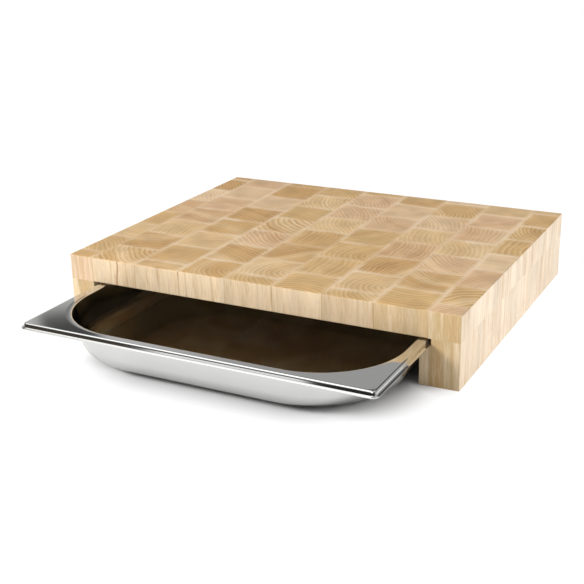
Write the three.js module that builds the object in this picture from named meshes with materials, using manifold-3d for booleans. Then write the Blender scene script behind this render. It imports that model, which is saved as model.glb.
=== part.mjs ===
// A cutting board of glued end-grain blocks, standing on two side rails and a back rail.
// A pressed steel tray hangs by its rim in the grooves of the side rails and slides out at the front.
// Millimetres, +Z up, +X to the right, -Y to the front. The floor under the board is Z = 0.
import * as THREE from 'three';
import { mergeVertices } from 'three/addons/utils/BufferGeometryUtils.js';
import { RoundedBoxGeometry } from 'three/addons/geometries/RoundedBoxGeometry.js';
import Module from 'manifold-3d';

const wasm = await Module();
wasm.setup();

// Tray, a standard half-size gastronorm pan
const traySpan = 325;              // over the rim, left to right
const trayReach = 265;             // over the rim, front to back
const trayHeight = 37.5;           // from the flat of the rim to the outside of the floor
const traySheet = 0.8;             // thickness of the pressed sheet
const rimHeight = 4.8;             // from the lip's underside to the flat of the rim
const rimCornerRadius = 6;         // corner of the lip, seen from above
const rimUpright = 2.2;            // from the lip's edge in to the upright face of the rim
const lipFilletRadius = 1;         // hollow between the lip and the upright face
const rimShoulderRadius = 1.8;     // round between the upright face and the flat of the rim
const rimWidth = 9.6;              // from the lip's edge in to where the mouth starts to turn down
const mouthRadius = 1.6;           // round of the mouth's edge
const mouthCornerRadius = 73;      // corner of the mouth, seen from above
const cornerSpread = 13;           // how much that corner widens from the mouth to the floor
const wallDraft = 7.5;             // degrees that the walls lean in
const floorRadius = 17;            // round between the walls and the floor, outside

// How the tray sits in the board
const slideGap = 0.2;              // under the rim, on the ledge
const rimHeadroom = 1.1;           // over the rim, below the slab
const sideClearance = 1.6;         // beside the rim when the tray is central
const restingGap = 0.4;            // what is left of it on the right, where the tray lies
const backClearance = 1.5;         // behind the rim when the tray is pushed home
const trayOut = 109;               // how far the rim stands out of the front at rest

// Board
const slabThickness = 23.5;        // the end-grain top
const ledgeHeight = 35.4;          // floor to the ledge that carries the tray
const ledgeWidth = 9.5;            // how far the ledge reaches under the rim
const grooveWall = 24.9;           // wood left beside the groove
const backRailDepth = 44.5;        // front to back
const edgeEase = 1.1;              // round on the outer edges
const glueLine = 0.3;              // between neighbouring blocks
const glueSetback = 0.4;           // the glue stays this far back from the faces

// Blocks
const stripCount = 9;
const firstStripWidth = 24.85;     // the left strip is cut down
const lastStripWidth = 28.1;       // and so is the right one
const blockPitch = 46.9;           // length of a whole block with its glue, front to back
const oddFrontBlock = 17.4;        // cut front block of strips 1, 3, 5 and so on
const evenFrontBlock = 42;         // cut front block of strips 2, 4, 6 and so on
const leastBlock = 9;              // a shorter rest is left on the block before it
const railBlockShares = [0.144, 0.125, 0.11, 0.066, 0.18, 0.125, 0.126, 0.124];
const backRailBlockCount = 7;

// Fineness of the rounds
const cornerSteps = 10;
const smallRoundSteps = 4;
const floorRoundSteps = 8;
const easeSteps = 2;
const overrun = 2;                 // how far a cutter reaches past what it cuts

// Derived places of the board, from its centre
const boardWidth = traySpan + 2 * (sideClearance + grooveWall);
const boardDepth = trayReach + backClearance + backRailDepth;
const slabUnderside = ledgeHeight + slideGap + rimHeight + rimHeadroom;
const boardHeight = slabUnderside + slabThickness;
const grooveSide = traySpan / 2 + sideClearance;
const railInside = grooveSide - ledgeWidth;
const frontFace = -boardDepth / 2;
const grooveEnd = boardDepth / 2 - backRailDepth;
const stripPitch = (boardWidth - firstStripWidth - lastStripWidth) / (stripCount - 2);
const halfGlue = glueLine / 2;

const woodColours = [0xe0c08f, 0xd9b581, 0xe6cda4];
const railColour = 0xe8d2ac;
const steelColour = 0xc8c8c6;

/** A wood finish in one of the timber's tones. */
function woodMaterial(colour) {
  return new THREE.MeshStandardMaterial({ color: colour, roughness: 0.62, metalness: 0 });
}

/** The closed solid of a three.js geometry. */
function solidOf(geometry) {
  geometry.deleteAttribute('normal');
  geometry.deleteAttribute('uv');
  const merged = mergeVertices(geometry);
  const mesh = { numProp: 3, vertProperties: merged.attributes.position.array, triVerts: merged.index.array };
  return new wasm.Manifold(new wasm.Mesh(mesh));
}

/** A block between two corners. */
function boxBetween(low, high) {
  const size = high.clone().sub(low);
  const middle = low.clone().add(high).multiplyScalar(0.5);
  const geometry = new THREE.BoxGeometry(size.x, size.y, size.z);
  geometry.translate(middle.x, middle.y, middle.z);
  return solidOf(geometry);
}

/** A named mesh of a solid, with its own origin at the given place. */
function meshOf(name, solid, place, material) {
  const { vertProperties, triVerts } = solid.translate([-place.x, -place.y, -place.z]).getMesh();
  const geometry = new THREE.BufferGeometry();
  geometry.setAttribute('position', new THREE.BufferAttribute(vertProperties, 3));
  geometry.setIndex(new THREE.BufferAttribute(triVerts, 1));
  geometry.computeVertexNormals();
  const mesh = new THREE.Mesh(geometry, material);
  mesh.name = name;
  mesh.position.copy(place);
  return mesh;
}

/** Front and back of each block in a strip: a cut front block, whole blocks, and the rest. */
function layBlocks(firstBlock) {
  const seams = [frontFace];
  for (let seam = frontFace + firstBlock; seam < -frontFace - leastBlock; seam += blockPitch) {
    seams.push(seam);
  }
  seams.push(-frontFace);
  return seams.slice(1).map((seam, index) => [seams[index], seam]);
}

/** The board's outer form, with its edges eased. Every wooden piece is trimmed to it. */
function boardForm() {
  const geometry = new RoundedBoxGeometry(boardWidth, boardDepth, boardHeight, easeSteps, edgeEase);
  geometry.translate(0, 0, boardHeight / 2);
  return solidOf(geometry);
}

/** One strip of the top: its blocks in a row, held together by the glue between them. */
function stripSolid(left, right, firstBlock) {
  const blocks = layBlocks(firstBlock);
  const low = new THREE.Vector3(left + glueSetback, frontFace + glueSetback, slabUnderside + glueSetback);
  const high = new THREE.Vector3(right - glueSetback, -frontFace - glueSetback, boardHeight - glueSetback);
  let strip = boxBetween(low, high);
  for (const [front, back] of blocks) {
    const blockFront = front === frontFace ? front : front + halfGlue;
    const blockBack = back === -frontFace ? back : back - halfGlue;
    const blockLow = new THREE.Vector3(left, blockFront, slabUnderside);
    strip = strip.add(boxBetween(blockLow, new THREE.Vector3(right, blockBack, boardHeight)));
  }
  return strip;
}

/** The top: strips side by side, their block seams in running bond. */
function addTop(board, form) {
  const firstSeam = -boardWidth / 2 + firstStripWidth;
  for (let index = 0; index < stripCount; index += 1) {
    const last = index === stripCount - 1;
    const left = index === 0 ? -boardWidth / 2 : firstSeam + (index - 1) * stripPitch + halfGlue;
    const right = last ? boardWidth / 2 : firstSeam + index * stripPitch - halfGlue;
    const firstBlock = index % 2 === 0 ? oddFrontBlock : evenFrontBlock;
    const solid = stripSolid(left, right, firstBlock).intersect(form);
    const place = new THREE.Vector3((left + right) / 2, 0, slabUnderside);
    const material = woodMaterial(woodColours[index % woodColours.length]);
    board.add(meshOf(`top_strip_${index + 1}`, solid, place, material));
  }
}

/** A side rail: a row of blocks, with the groove for the tray's rim cut into the inner top edge. */
function addSideRail(board, form, sideName, side) {
  const railTop = slabUnderside - glueLine;
  const grooveLow = new THREE.Vector3(railInside - overrun, frontFace - overrun, ledgeHeight);
  const grooveHigh = new THREE.Vector3(grooveSide, grooveEnd, railTop + overrun);
  const groove = boxBetween(grooveLow, grooveHigh);
  let front = frontFace;
  railBlockShares.forEach((share, index) => {
    const last = index === railBlockShares.length - 1;
    const back = last ? -frontFace : front + share * boardDepth;
    const blockFront = index === 0 ? front : front + halfGlue;
    const blockBack = last ? back : back - halfGlue;
    const low = new THREE.Vector3(railInside, blockFront, 0);
    const block = boxBetween(low, new THREE.Vector3(boardWidth / 2, blockBack, railTop));
    const solid = block.subtract(groove).intersect(form);
    const turned = side > 0 ? solid : solid.mirror([1, 0, 0]);
    const middle = side * (railInside + boardWidth / 2) / 2;
    const place = new THREE.Vector3(middle, (blockFront + blockBack) / 2, 0);
    board.add(meshOf(`${sideName}_rail_block_${index + 1}`, turned, place, woodMaterial(railColour)));
    front = back;
  });
}

/** The back rail: a row of blocks between the side rails, which stops the tray. */
function addBackRail(board, form) {
  const span = 2 * (railInside - glueLine);
  const blockWidth = span / backRailBlockCount;
  for (let index = 0; index < backRailBlockCount; index += 1) {
    const left = -span / 2 + index * blockWidth + (index === 0 ? 0 : halfGlue);
    const right = -span / 2 + (index + 1) * blockWidth - (index === backRailBlockCount - 1 ? 0 : halfGlue);
    const low = new THREE.Vector3(left, grooveEnd, 0);
    const high = new THREE.Vector3(right, -frontFace, slabUnderside - glueLine);
    const solid = boxBetween(low, high).intersect(form);
    const place = new THREE.Vector3((left + right) / 2, (grooveEnd - frontFace) / 2, 0);
    board.add(meshOf(`back_rail_block_${index + 1}`, solid, place, woodMaterial(railColour)));
  }
}

/** Points of an arc in the tray's section, as inset from the lip's edge and height. */
function arcPoints(inset, height, radius, fromDegrees, toDegrees, steps) {
  return Array.from({ length: steps + 1 }, (unused, step) => {
    const angle = THREE.MathUtils.degToRad(fromDegrees + (toDegrees - fromDegrees) * step / steps);
    return new THREE.Vector2(inset + radius * Math.cos(angle), height + radius * Math.sin(angle));
  });
}

/** One face of the sheet in section, from the lip's edge to the floor, this far below the upper face. */
function sheetFace(below) {
  const uprightTop = rimHeight - rimShoulderRadius;
  const mouthHeight = rimHeight - mouthRadius;
  const lipFillet = arcPoints(rimUpright - lipFilletRadius, traySheet + lipFilletRadius,
    lipFilletRadius + below, -90, 0, smallRoundSteps);
  const shoulder = arcPoints(rimUpright + rimShoulderRadius, uprightTop,
    rimShoulderRadius - below, 180, 90, smallRoundSteps);
  const mouth = arcPoints(rimWidth, mouthHeight, mouthRadius - below, 90, wallDraft, smallRoundSteps);
  const innerFloorRadius = floorRadius - traySheet;
  const floorCentreHeight = rimHeight - trayHeight + floorRadius;
  const lean = Math.tan(THREE.MathUtils.degToRad(wallDraft));
  const slope = Math.cos(THREE.MathUtils.degToRad(wallDraft));
  const wallInset = rimWidth + mouthRadius / slope + (mouthHeight - floorCentreHeight) * lean;
  const floorRound = arcPoints(wallInset + innerFloorRadius / slope, floorCentreHeight,
    innerFloorRadius + below, 180 + wallDraft, 270, floorRoundSteps);
  return [new THREE.Vector2(0, traySheet - below), ...lipFillet, ...shoulder, ...mouth, ...floorRound];
}

/** Corner radius, seen from above, of the tray's outline at a point of its section. */
function cornerRadiusAt({ x: inset, y: height }) {
  if (inset < rimUpright + rimShoulderRadius + traySheet) {
    return Math.max(rimCornerRadius - inset, traySheet);
  }
  const depthShare = (rimHeight - height) / trayHeight;
  return mouthCornerRadius - (inset - rimWidth) + cornerSpread * depthShare;
}

/** The tray's outline at a point of its section, as a ring of points. */
function trayRing(point) {
  const radius = cornerRadiusAt(point);
  const acrossCentre = traySpan / 2 - point.x - radius;
  const alongCentre = trayReach / 2 - point.x - radius;
  const ring = [];
  for (const [quarter, side, end] of [[0, 1, 1], [1, -1, 1], [2, -1, -1], [3, 1, -1]]) {
    for (let step = 0; step <= cornerSteps; step += 1) {
      const angle = (quarter + step / cornerSteps) * Math.PI / 2;
      const x = side * acrossCentre + radius * Math.cos(angle);
      const y = end * alongCentre + radius * Math.sin(angle);
      ring.push(new THREE.Vector3(x, y, point.y));
    }
  }
  return ring;
}

/** The tray: the section's upper face and underside, carried round the outline and closed at the floor. */
function trayGeometry() {
  const upper = sheetFace(0).map(trayRing);
  const under = sheetFace(traySheet).map(trayRing);
  const rings = [...upper.reverse(), ...under];
  const floorTop = new THREE.Vector3(0, 0, rings[0][0].z);
  const floorBottom = new THREE.Vector3(0, 0, rings[rings.length - 1][0].z);
  const count = rings[0].length;
  const positions = [...rings.flat(), floorTop, floorBottom].flatMap((point) => point.toArray());
  const topCentre = rings.length * count;
  const triangles = [];
  for (let step = 0; step < count; step += 1) {
    const next = (step + 1) % count;
    triangles.push(topCentre, step, next);
    for (let ring = 0; ring < rings.length - 1; ring += 1) {
      const here = ring * count;
      const there = here + count;
      triangles.push(here + step, there + step, there + next);
      triangles.push(here + step, there + next, here + next);
    }
    const lastRing = (rings.length - 1) * count;
    triangles.push(topCentre + 1, lastRing + next, lastRing + step);
  }
  const geometry = new THREE.BufferGeometry();
  geometry.setAttribute('position', new THREE.Float32BufferAttribute(positions, 3));
  geometry.setIndex(triangles);
  geometry.computeVertexNormals();
  return geometry;
}

/** The tray as a mesh, standing on the underside of its lip. */
function makeTray() {
  const material = new THREE.MeshStandardMaterial({ color: steelColour, roughness: 0.3, metalness: 1 });
  const mesh = new THREE.Mesh(trayGeometry(), material);
  mesh.name = 'tray';
  return mesh;
}

const board = new THREE.Group();
const form = boardForm();
addTop(board, form);
addSideRail(board, form, 'left', -1);
addSideRail(board, form, 'right', 1);
addBackRail(board, form);

// The tray lies to the right in its play and stands out of the front.
const tray = new THREE.Group();
tray.add(makeTray());
tray.position.set(sideClearance - restingGap, frontFace - trayOut + trayReach / 2, ledgeHeight + slideGap);

// The whole is centred front to back with the tray out.
const cuttingBoard = new THREE.Group();
cuttingBoard.add(board, tray);
cuttingBoard.position.y = trayOut / 2;

export default cuttingBoard;
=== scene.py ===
"""An end-grain cutting board with a pressed steel tray under it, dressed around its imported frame."""
import sys

import logging
import math
from contextlib import contextmanager
from dataclasses import dataclass
from enum import Enum
from typing import Callable, Iterator, Sequence

import bmesh
import bpy
from mathutils import Matrix, Vector


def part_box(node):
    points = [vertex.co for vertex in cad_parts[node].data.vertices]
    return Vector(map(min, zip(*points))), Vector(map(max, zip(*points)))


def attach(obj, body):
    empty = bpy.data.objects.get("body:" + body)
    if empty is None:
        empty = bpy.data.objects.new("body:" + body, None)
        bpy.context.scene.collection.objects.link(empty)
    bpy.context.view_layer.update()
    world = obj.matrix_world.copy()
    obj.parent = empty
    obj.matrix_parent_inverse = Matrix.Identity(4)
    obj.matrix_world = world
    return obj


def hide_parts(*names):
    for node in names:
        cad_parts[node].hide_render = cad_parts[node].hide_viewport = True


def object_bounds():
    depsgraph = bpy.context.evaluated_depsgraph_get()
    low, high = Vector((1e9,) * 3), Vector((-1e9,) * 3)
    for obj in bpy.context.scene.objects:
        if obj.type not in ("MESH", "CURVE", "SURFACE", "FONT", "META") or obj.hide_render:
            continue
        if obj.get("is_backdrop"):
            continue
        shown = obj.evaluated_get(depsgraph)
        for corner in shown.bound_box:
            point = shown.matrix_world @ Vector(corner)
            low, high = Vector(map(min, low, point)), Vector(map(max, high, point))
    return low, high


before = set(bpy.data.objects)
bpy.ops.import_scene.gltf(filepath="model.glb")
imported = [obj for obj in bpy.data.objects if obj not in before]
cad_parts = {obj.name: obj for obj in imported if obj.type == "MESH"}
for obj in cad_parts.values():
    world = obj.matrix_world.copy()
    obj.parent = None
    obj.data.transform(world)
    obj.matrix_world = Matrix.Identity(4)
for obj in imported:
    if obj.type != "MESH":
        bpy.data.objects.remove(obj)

MM = 0.001
NEAR = 0.01 * MM
log = logging.getLogger("cutting_board")

Pair = tuple[float, float]
Span = tuple[float, float, float]
Colour = tuple[float, float, float]
Socket = bpy.types.NodeSocket
Material = bpy.types.Material
Piece = bpy.types.Object


def linear(colour: Colour) -> tuple[float, float, float, float]:
    """Turns a colour as it is seen on a screen into the linear one that a shader wants.

    Args:
        colour: Red, green and blue as seen, from 0 to 1.

    Returns:
        The linear colour, with an alpha of 1.
    """
    return (*(((c + 0.055) / 1.055) ** 2.4 if c > 0.04045 else c / 12.92 for c in colour), 1.0)


class Value:
    """A number in a shader, on which Python's operators add Math nodes."""

    def __init__(self, shader: "Shader", socket: Socket) -> None:
        """Wraps a socket of the shader's node tree."""
        self.shader = shader
        self.socket = socket

    def __add__(self, other: "Value | float") -> "Value":
        """Adds."""
        return self.shader.math("ADD", self, other)

    def __sub__(self, other: "Value | float") -> "Value":
        """Subtracts."""
        return self.shader.math("SUBTRACT", self, other)

    def __rsub__(self, other: float) -> "Value":
        """Subtracts from a plain number."""
        return self.shader.math("SUBTRACT", other, self)

    def __mul__(self, other: "Value | float") -> "Value":
        """Multiplies."""
        return self.shader.math("MULTIPLY", self, other)

    def __truediv__(self, other: "Value | float") -> "Value":
        """Divides."""
        return self.shader.math("DIVIDE", self, other)

    def __pow__(self, other: float) -> "Value":
        """Raises to a power."""
        return self.shader.math("POWER", self, other)

    def least(self, other: "Value | float") -> "Value":
        """The smaller of two numbers."""
        return self.shader.math("MINIMUM", self, other)

    def most(self, other: "Value | float") -> "Value":
        """The larger of two numbers."""
        return self.shader.math("MAXIMUM", self, other)

    def size(self) -> "Value":
        """The number without its sign."""
        return self.shader.math("ABSOLUTE", self)

    def rise(self, low: "Value | float", high: "Value | float") -> "Value":
        """Goes smoothly from 0 to 1 between two values of the number.

        Args:
            low: Where the result is still 0.
            high: Where it has reached 1. It may be the smaller one.

        Returns:
            The smooth step.
        """
        given = {"Value": self, "From Min": low, "From Max": high}
        return self.shader.value("ShaderNodeMapRange", {"interpolation_type": "SMOOTHSTEP"}, given)

    def inside(self, low: float, high: float, soft: float) -> "Value":
        """1 between two values of the number, with soft ends."""
        return self.rise(low - soft, low + soft) * self.rise(high + soft, high - soft)

    def towards(self, first: "Value | float", second: "Value | float") -> "Value":
        """Goes from one number to another while this one goes from 0 to 1."""
        return self * (second - first) + first


class Shader:
    """The node tree of a material or of the sky, built one node at a time."""

    MIX_FACTOR, MIX_A, MIX_B, MIX_RESULT = 0, 6, 7, 2

    def __init__(self, owner: Material | bpy.types.World) -> None:
        """Starts the owner's tree afresh."""
        self.owner = owner
        owner.use_nodes = True
        self.tree = owner.node_tree
        self.tree.nodes.clear()

    @classmethod
    def of(cls, name: str) -> "Shader":
        """Starts a new material of that name."""
        return cls(bpy.data.materials.new(name))

    def node(self, kind: str, settings: dict | None = None, inputs: dict | None = None) -> bpy.types.Node:
        """Adds a node.

        Args:
            kind: The node's type.
            settings: Its own settings, such as a Math node's operation, which are set first.
            inputs: What goes into its sockets, by name or number: a plain value or a link.

        Returns:
            The new node.
        """
        made = self.tree.nodes.new(kind)
        for name, setting in (settings or {}).items():
            setattr(made, name, setting)
        for name, given in (inputs or {}).items():
            if isinstance(given, Value):
                self.tree.links.new(given.socket, made.inputs[name])
            elif isinstance(given, Socket):
                self.tree.links.new(given, made.inputs[name])
            else:
                made.inputs[name].default_value = given
        return made

    def value(self, kind: str, settings: dict | None = None, inputs: dict | None = None) -> Value:
        """Adds a node and gives its first output as a number."""
        return Value(self, self.node(kind, settings, inputs).outputs[0])

    def math(self, operation: str, *numbers: Value | float) -> Value:
        """Adds a Math node over one or two numbers."""
        return self.value("ShaderNodeMath", {"operation": operation}, dict(enumerate(numbers)))

    def attribute(self, name: str) -> bpy.types.Node:
        """Adds a node that reads one of the mesh's own attributes."""
        return self.node("ShaderNodeAttribute", {"attribute_type": "GEOMETRY", "attribute_name": name})

    def stretch(self, vector: Socket, scale: Sequence[float]) -> Socket:
        """Scales a vector, axis by axis."""
        node = self.node("ShaderNodeVectorMath", {"operation": "MULTIPLY"}, {0: vector, 1: tuple(scale)})
        return node.outputs[0]

    def parts(self, vector: Socket) -> tuple[Value, Value, Value]:
        """Splits a vector into its three numbers."""
        outputs = self.node("ShaderNodeSeparateXYZ", None, {0: vector}).outputs
        return tuple(Value(self, output) for output in outputs)

    def number(self, name: str) -> Value:
        """Reads an attribute that is a number."""
        return Value(self, self.attribute(name).outputs["Fac"])

    def numbers(self, name: str) -> tuple[Value, Value, Value]:
        """Reads an attribute that is three numbers."""
        return self.parts(self.attribute(name).outputs["Vector"])

    def length(self, vector: Socket) -> Value:
        """The length of a vector."""
        node = self.node("ShaderNodeVectorMath", {"operation": "LENGTH"}, {0: vector})
        return Value(self, node.outputs["Value"])

    def grey(self, number: Value) -> Socket:
        """Makes a grey of a number."""
        return self.node("ShaderNodeCombineColor", None, {0: number, 1: number, 2: number}).outputs[0]

    def noise(self, vector: Socket, scale: float, detail: float) -> Value:
        """Adds a soft noise over a vector, from about 0 to 1."""
        return self.value("ShaderNodeTexNoise", None, {"Vector": vector, "Scale": scale, "Detail": detail})

    def sway(self, vector: Socket, scale: float, detail: float) -> Value:
        """Adds a soft noise over a vector, from about -0.5 to 0.5."""
        return self.noise(vector, scale, detail) - 0.5

    def noise_along(self, number: Value, scale: float, detail: float) -> Value:
        """Adds a soft noise over a single number, from about 0 to 1."""
        made = {"W": number, "Scale": scale, "Detail": detail}
        return self.value("ShaderNodeTexNoise", {"noise_dimensions": "1D"}, made)

    def blend(self, factor: Value | float, first: object, second: object, mode: str = "MIX") -> Socket:
        """Mixes two colours.

        Args:
            factor: How much of the second colour there is.
            first: The first colour, a plain one or a link.
            second: The second colour.
            mode: How they are mixed.

        Returns:
            The mixed colour's socket.
        """
        settings = {"data_type": "RGBA", "blend_type": mode, "clamp_factor": True}
        inputs = {self.MIX_FACTOR: factor, self.MIX_A: first, self.MIX_B: second}
        return self.node("ShaderNodeMix", settings, inputs).outputs[self.MIX_RESULT]

    def shaded(self, colour: Socket, light: Value) -> Socket:
        """Multiplies a colour by a brightness."""
        return self.blend(1.0, colour, self.grey(light), "MULTIPLY")

    def surface(self, inputs: dict) -> Material:
        """Ends the tree with a Principled shader.

        Args:
            inputs: What goes into the shader's sockets.

        Returns:
            The finished material.
        """
        principled = self.node("ShaderNodeBsdfPrincipled", None, inputs)
        self.node("ShaderNodeOutputMaterial", None, {"Surface": principled.outputs[0]})
        return self.owner


class Tone(Enum):
    """The timber's tones: first the sanded end grain's, and then the upright faces'."""

    CREAM = (0.878, 0.766, 0.622)
    PALE_GOLD = (0.838, 0.712, 0.532)
    GOLD = (0.800, 0.660, 0.455)
    HONEY = (0.795, 0.650, 0.450)
    TAN = (0.775, 0.625, 0.420)
    BROWN = (0.745, 0.590, 0.385)
    ROSE = (0.826, 0.690, 0.545)
    ROSE_BROWN = (0.786, 0.640, 0.480)
    GREY = (0.840, 0.718, 0.575)
    OLIVE = (0.782, 0.650, 0.448)
    SIDE = (0.873, 0.772, 0.635)
    SIDE_PALE = (0.908, 0.810, 0.676)
    SIDE_ROSE = (0.808, 0.702, 0.585)
    SIDE_OLIVE = (0.768, 0.668, 0.500)
    SIDE_TAN = (0.820, 0.715, 0.555)
    SIDE_CREAM = (0.950, 0.850, 0.712)
    # Painted shade: a darker upright tone for the legs' fronts, which lie in the tray's shadow.
    SIDE_PAINTED_SHADE = (0.735, 0.635, 0.470)
    # This tone and the next are pale wood with a painted highlight, for the bright, washed-out light on the
    # board's right side.
    SIDE_WHITE_HIGHLIGHT = (0.900, 0.840, 0.762)
    SIDE_CHALK_HIGHLIGHT = (0.885, 0.815, 0.735)


@dataclass(frozen=True)
class Block:
    """How one block of the board was cut from its tree."""

    tone: Tone
    heart: float
    """The direction of the tree's heart as seen from above, in degrees from the right, turning left."""
    reach: float
    """How far the heart is from the block's centre, in millimetres."""
    ring: float
    """The width of a year's ring, in millimetres."""
    depth: float
    """How strongly the rings show, from 0."""
    face: Tone = Tone.SIDE
    """The tone of its upright faces."""
    vein: float = 99.0
    """How far right of its centre a brown vein runs up it, in millimetres: far off where it has none."""


STRIPS: tuple[tuple[Block, ...], ...] = (
    (
        Block(Tone.TAN, 300, 90, 3.7, 0.20, Tone.SIDE_ROSE),
        Block(Tone.GOLD, 225, 80, 3.9, 0.50),
        Block(Tone.PALE_GOLD, 80, 120, 4.2, 0.20),
        Block(Tone.HONEY, 70, 120, 3.9, 0.20),
        Block(Tone.ROSE_BROWN, 250, 90, 3.9, 0.40),
        Block(Tone.CREAM, 25, 60, 4.2, 0.35),
        Block(Tone.BROWN, 215, 60, 3.8, 0.50),
        Block(Tone.TAN, 60, 90, 3.9, 0.20),
    ),
    (
        Block(Tone.HONEY, 40, 75, 4.7, 0.90, Tone.SIDE_PALE, 3.5),
        Block(Tone.BROWN, 115, 45, 5.3, 0.50),
        Block(Tone.PALE_GOLD, 0, 120, 5.0, 0.50),
        Block(Tone.ROSE_BROWN, 250, 100, 3.9, 0.60),
        Block(Tone.ROSE, 260, 100, 4.2, 0.35),
        Block(Tone.GREY, 300, 70, 5.6, 0.45),
        Block(Tone.ROSE, 60, 120, 4.2, 0.15),
    ),
    (
        Block(Tone.TAN, 280, 35, 3.7, 0.40, Tone.SIDE_PALE),
        Block(Tone.HONEY, 290, 28, 4.1, 0.35),
        Block(Tone.PALE_GOLD, 110, 80, 5.0, 0.40),
        Block(Tone.TAN, 250, 90, 4.2, 0.40),
        Block(Tone.BROWN, 245, 80, 4.5, 0.55),
        Block(Tone.GREY, 340, 90, 4.5, 0.30),
        Block(Tone.BROWN, 60, 120, 4.5, 0.15),
        Block(Tone.TAN, 80, 90, 4.2, 0.20),
    ),
    (
        Block(Tone.TAN, 5, 28, 4.2, 0.45, Tone.SIDE_CREAM),
        Block(Tone.TAN, 245, 75, 4.2, 0.60),
        Block(Tone.ROSE, 45, 80, 4.7, 0.80),
        Block(Tone.PALE_GOLD, 50, 50, 5.9, 1.55),
        Block(Tone.OLIVE, 250, 80, 4.2, 0.35),
        Block(Tone.PALE_GOLD, 25, 55, 4.5, 0.80),
        Block(Tone.GOLD, 235, 60, 4.2, 0.70),
    ),
    (
        Block(Tone.OLIVE, 30, 40, 4.2, 0.50, Tone.SIDE_PALE),
        Block(Tone.PALE_GOLD, 350, 27, 4.7, 0.70),
        Block(Tone.BROWN, 320, 80, 4.2, 0.60),
        Block(Tone.TAN, 180, 150, 5.0, 0.35),
        Block(Tone.PALE_GOLD, 30, 90, 4.5, 0.35),
        Block(Tone.ROSE, 215, 80, 4.1, 0.50),
        Block(Tone.ROSE, 215, 60, 3.8, 0.60),
        Block(Tone.GOLD, 80, 90, 4.2, 0.20),
    ),
    (
        Block(Tone.GOLD, 275, 45, 4.7, 0.60, Tone.SIDE_PALE),
        Block(Tone.GOLD, 180, 100, 5.3, 0.25),
        Block(Tone.GOLD, 350, 30, 5.0, 0.45),
        Block(Tone.OLIVE, 145, 200, 4.7, 0.60),
        Block(Tone.ROSE, 50, 50, 3.9, 0.75),
        Block(Tone.GREY, 320, 55, 4.7, 0.50),
        Block(Tone.HONEY, 90, 50, 4.5, 0.50),
    ),
    (
        Block(Tone.OLIVE, 30, 40, 4.2, 0.50),
        Block(Tone.PALE_GOLD, 350, 25, 4.7, 0.70),
        Block(Tone.BROWN, 340, 60, 3.9, 0.75),
        Block(Tone.ROSE_BROWN, 180, 100, 4.1, 0.55),
        Block(Tone.PALE_GOLD, 15, 60, 4.7, 0.30),
        Block(Tone.GREY, 210, 100, 4.1, 0.55),
        Block(Tone.HONEY, 215, 50, 3.9, 0.65),
        Block(Tone.CREAM, 80, 90, 4.2, 0.20),
    ),
    (
        Block(Tone.GOLD, 90, 100, 5.0, 0.50, Tone.SIDE_TAN),
        Block(Tone.TAN, 70, 40, 3.8, 0.75),
        Block(Tone.ROSE, 50, 70, 4.2, 0.70),
        Block(Tone.PALE_GOLD, 200, 60, 4.7, 0.40),
        Block(Tone.ROSE, 180, 80, 4.2, 0.50),
        Block(Tone.ROSE, 120, 50, 4.5, 0.50),
        Block(Tone.PALE_GOLD, 90, 30, 4.5, 0.40),
    ),
    (
        Block(Tone.ROSE, 320, 50, 4.2, 0.60, Tone.SIDE_OLIVE),
        # Behind the first block, the pale face tones are pale wood and painted highlight of the light on the
        # board's right side.
        Block(Tone.HONEY, 310, 70, 6.1, 0.90, Tone.SIDE_WHITE_HIGHLIGHT),
        Block(Tone.ROSE, 320, 45, 3.9, 0.40, Tone.SIDE_WHITE_HIGHLIGHT),
        Block(Tone.CREAM, 270, 120, 5.3, 0.30, Tone.SIDE_WHITE_HIGHLIGHT),
        Block(Tone.GOLD, 0, 60, 5.3, 0.70, Tone.SIDE_WHITE_HIGHLIGHT),
        Block(Tone.GOLD, 30, 45, 4.1, 1.00, Tone.SIDE_CHALK_HIGHLIGHT),
        Block(Tone.HONEY, 320, 50, 4.2, 0.50, Tone.SIDE_CHALK_HIGHLIGHT),
        Block(Tone.PALE_GOLD, 80, 90, 4.2, 0.20, Tone.SIDE_CHALK_HIGHLIGHT),
    ),
)
"""The top's blocks, strip by strip from the left, and front to back in each."""

RAIL_BLOCKS: tuple[Block, ...] = (
    # The first block's face tone is painted shade, for the tray's shadow on the legs' fronts.
    Block(Tone.GOLD, 20, 70, 4.2, 0.45, Tone.SIDE_PAINTED_SHADE),
    # From here on, the pale face tones are pale wood and painted highlight of the light on the board's right
    # side.
    Block(Tone.PALE_GOLD, 160, 90, 4.5, 0.35, Tone.SIDE_WHITE_HIGHLIGHT),
    Block(Tone.HONEY, 250, 60, 4.2, 0.40, Tone.SIDE_WHITE_HIGHLIGHT),
    Block(Tone.CREAM, 80, 110, 4.7, 0.30, Tone.SIDE_WHITE_HIGHLIGHT),
    Block(Tone.PALE_GOLD, 310, 80, 4.2, 0.40, Tone.SIDE_WHITE_HIGHLIGHT),
    Block(Tone.ROSE, 200, 70, 4.1, 0.45, Tone.SIDE_CHALK_HIGHLIGHT),
    Block(Tone.CREAM, 45, 90, 4.5, 0.30, Tone.SIDE_WHITE_HIGHLIGHT),
    Block(Tone.GREY, 130, 75, 4.2, 0.40, Tone.SIDE_CHALK_HIGHLIGHT),
)
"""The blocks that the rails are glued up from, front to back, and over again where there are more."""


class Side(Enum):
    """The board's two sides, as the CAD nodes' names have them."""

    LEFT = "left"
    RIGHT = "right"


class Part(Enum):
    """What is selected in edit mode: the operator's word for it, and the mesh's."""

    VERTEX = ("VERT", "verts")
    EDGE = ("EDGE", "edges")
    FACE = ("FACE", "faces")


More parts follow.
